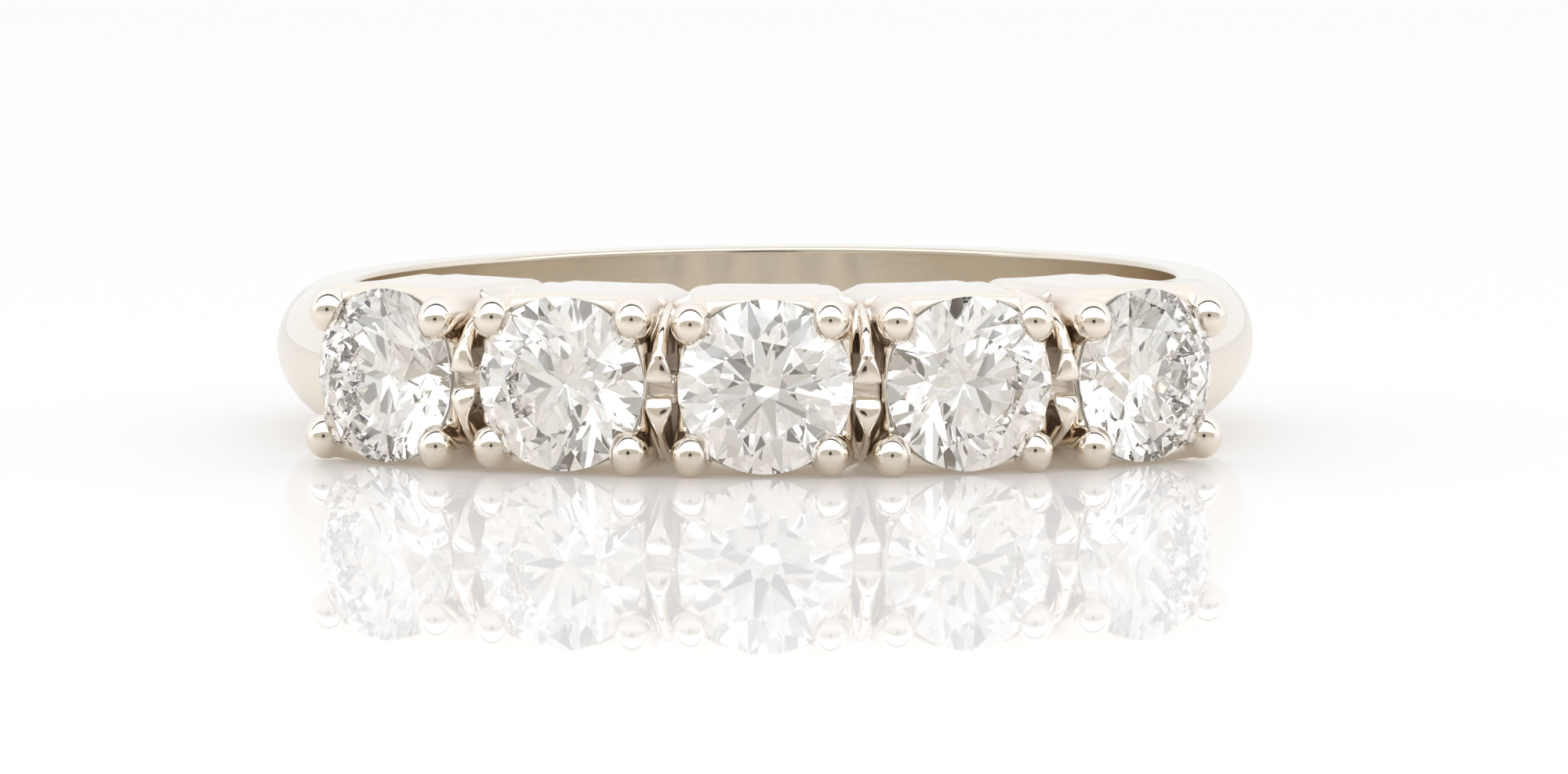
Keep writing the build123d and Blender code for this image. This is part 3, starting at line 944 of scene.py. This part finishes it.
def studio_world():
    """White surround with a long soft light above the front and a dimmer front below it.

    The light depends on the direction: on its angle over the front horizon, seen along
    the row of stones, and on how far it points to either side. A small dark disc
    stands where the camera is. Light that has gone through a stone is softer, and a
    dark band lies at the horizon there. Light that the floor has spread comes from
    behind for the most part, so that the ring throws a soft warm shade forwards. The
    camera itself sees a white backdrop.
    """
    looks = bpy.context.scene.band_studio
    world = bpy.data.worlds.new("studio")
    bpy.context.scene.world = world
    world.use_nodes = True
    tree = world.node_tree
    place = add_node(tree, "TexCoord", {}).outputs["Generated"]
    split = add_node(tree, "SeparateXYZ", {"Vector": place}).outputs
    ray = add_node(tree, "LightPath", {}).outputs
    through = ray["Is Transmission Ray"]
    ahead = calculate(tree, "MULTIPLY", split["Y"], -1.0)
    lift = calculate(tree, "ARCTAN2", split["Z"], ahead)
    aside = add_node(tree, "Math", {0: split["X"]}, operation="ABSOLUTE").outputs[0]

    def step(value, start, end):
        """Share that grows smoothly while the value goes from start to end."""
        inputs = {"Value": value, "From Min": start, "From Max": end}
        return add_node(tree, "MapRange", inputs, interpolation_type="SMOOTHSTEP").outputs["Result"]

    def beyond(edge):
        """Share of a direction that lies beyond one of the surround's edges."""
        start, end = EDGES[edge]
        return step(lift, math.radians(start), math.radians(end))

    white = grey(looks.surround)
    light = blend(tree, through, grey(looks.top_light), grey(looks.stone_light))
    front = blend(tree, through, opaque(looks.front_tone), opaque(looks.stone_front))
    gap = blend(tree, through, grey(looks.gap_tone), grey(looks.stone_gap))
    tone = blend(tree, beyond("light"), front, light)
    tone = blend(tree, beyond("gap"), tone, gap)
    tone = blend(tree, beyond("white"), tone, white)
    tone = blend(tree, beyond("backdrop"), tone, grey(looks.backdrop))
    tone = blend(tree, step(aside, *SIDES), white, tone)
    spread = blend(tree, beyond("back"), opaque(looks.spread_front), grey(looks.spread_back))
    tone = blend(tree, calculate(tree, "GREATER_THAN", ray["Diffuse Depth"], 0.5), tone, spread)
    low = step(lift, looks.stone_shade, looks.stone_shade * looks.shade_core)
    tone = blend(tree, calculate(tree, "MULTIPLY", low, through), tone, opaque(looks.stone_low))
    camera_way = (0.0, -math.cos(looks.elevation), math.sin(looks.elevation))
    lens = add_node(tree, "VectorMath", {0: place, 1: camera_way}, operation="DOT_PRODUCT").outputs["Value"]
    disc = step(lens, *(math.cos(math.radians(angle)) for angle in LENS_DISC))
    tone = blend(tree, disc, tone, opaque(looks.lens_tone))
    tone = blend(tree, ray["Is Camera Ray"], tone, white)
    tree.links.new(tone, tree.nodes["Background"].inputs["Color"])


class BAND_OT_materials(bpy.types.Operator):
    """Make the metal and the diamond, and give the stones theirs"""

    bl_idname = "band.materials"
    bl_label = "Make materials"

    def execute(self, context):
        polish = polish_group()
        white_gold(polish)
        clear = diamond(polish)
        for name in STONES:
            mesh = frame["nodes"][name].data
            mesh.materials.clear()
            mesh.materials.append(clear)
        return {"FINISHED"}


class BAND_OT_hoop(bpy.types.Operator):
    """Make the hoop with its shoulders"""

    bl_idname = "band.hoop"
    bl_label = "Make hoop"

    def execute(self, context):
        vertices, quads, caps = hoop_surface()
        clean = np.zeros(len(vertices))
        metal_piece("hoop", vertices, quads.tolist() + caps.tolist(), clean, clean)
        return {"FINISHED"}


class BAND_OT_heads(bpy.types.Operator):
    """Make the four-prong heads"""

    bl_idname = "band.heads"
    bl_label = "Make heads"

    def execute(self, context):
        low, high = search_box(STONE_RADIUS, GIRDLE + context.scene.band_prong.rise, HEAD_ROOM)
        for number, place in enumerate(PLACES, start=1):
            vertices, faces = skin(head_field(number), low, high, HEAD_STEP)
            shoulder = {1: -1, len(PLACES): 1}.get(number, 0)
            dirt_and_shade, satin = head_shade_dirt_and_satin(vertices, shoulder)
            metal_piece(f"head_{number}", from_local(vertices, place["angle"]), faces.tolist(), dirt_and_shade, satin)
        return {"FINISHED"}


class BAND_OT_spacers(bpy.types.Operator):
    """Make the beaded spacers between the heads"""

    bl_idname = "band.spacers"
    bl_label = "Make spacers"

    def execute(self, context):
        low, high = search_box(0.0, GIRDLE, SPACER_ROOM)
        for number, nudge in enumerate(SPACER_NUDGES, start=1):
            vertices, faces = skin(spacer_field(nudge), low, high, SPACER_STEP)
            dirt_and_shade = spacer_dirt_and_shade(vertices, nudge[1] * MM)
            angle = PLACES[number - 1]["angle"] + PITCH / 2
            metal_piece(f"spacer_{number}", from_local(vertices, angle), faces.tolist(), dirt_and_shade, dirt_and_shade)
        return {"FINISHED"}


class BAND_OT_studio(bpy.types.Operator):
    """Make the floor, the light and the camera"""

    bl_idname = "band.studio"
    bl_label = "Make studio"

    def execute(self, context):
        scene = context.scene
        looks = scene.band_studio
        ground = cad_box[0][2]
        corners = np.array([(-1, -1, 0), (1, -1, 0), (1, 1, 0), (-1, 1, 0)]) * looks.floor_half
        mesh = bpy.data.meshes.new("floor")
        mesh.from_pydata((corners + (0, 0, ground)).tolist(), [], [(0, 1, 2, 3)])
        mesh.materials.append(floor_material())
        floor = bpy.data.objects.new("floor", mesh)
        scene.collection.objects.link(floor)
        studio_world()
        lens = bpy.data.cameras.new("camera")
        lens.lens = looks.focal
        lens.sensor_width = 36.0
        lens.clip_start = 0.01
        camera = bpy.data.objects.new("camera", lens)
        scene.collection.objects.link(camera)
        back, up = math.cos(looks.elevation), math.sin(looks.elevation)
        camera.location = (0, -looks.distance * back, looks.distance * up)
        aim = Vector((looks.aim_across, 0, -looks.aim_below))
        camera.rotation_euler = (aim - camera.location).to_track_quat("-Z", "Y").to_euler()
        scene.camera = camera
        scene.view_settings.view_transform = "Standard"
        scene.cycles.max_bounces = 32
        scene.cycles.transmission_bounces = 24
        scene.cycles.glossy_bounces = 24
        return {"FINISHED"}


class BAND_PT_panel(bpy.types.Panel):
    """Sidebar panel with the band's sizes and looks"""

    bl_label = "Diamond band"
    bl_idname = "BAND_PT_panel"
    bl_space_type = "VIEW_3D"
    bl_region_type = "UI"
    bl_category = "Diamond band"

    def draw(self, context):
        for title, name in GROUPS.items():
            box = self.layout.box()
            box.label(text=title)
            group = getattr(context.scene, name)
            for key in group.bl_rna.properties.keys():
                if key not in ("rna_type", "name"):
                    box.prop(group, key)
        for operator in OPERATORS:
            self.layout.operator(operator.bl_idname)


GROUPS = {
    "Hoop": "band_hoop",
    "Heads": "band_head",
    "Prongs": "band_prong",
    "Spacers": "band_spacer",
    "Metal": "band_metal",
    "Stones": "band_stone",
    "Studio": "band_studio",
}
GROUP_CLASSES = (HoopSizes, HeadSizes, ProngSizes, SpacerSizes, MetalLooks, StoneLooks, StudioLooks)
OPERATORS = (BAND_OT_materials, BAND_OT_hoop, BAND_OT_heads, BAND_OT_spacers, BAND_OT_studio)
CLASSES = (*GROUP_CLASSES, *OPERATORS, BAND_PT_panel)


def register():
    """Add the property groups, operators and panel, and the groups to the scene."""
    for cls in CLASSES:
        bpy.utils.register_class(cls)
    for name, cls in zip(GROUPS.values(), GROUP_CLASSES):
        setattr(bpy.types.Scene, name, PointerProperty(type=cls))


def unregister():
    """Take them away again."""
    for name in GROUPS.values():
        delattr(bpy.types.Scene, name)
    for cls in reversed(CLASSES):
        bpy.utils.unregister_class(cls)


def main():
    """Make every piece and the studio."""
    register()
    bpy.ops.band.materials()
    bpy.ops.band.hoop()
    bpy.ops.band.heads()
    bpy.ops.band.spacers()
    bpy.ops.band.studio()


if __name__ == "__main__":
    main()
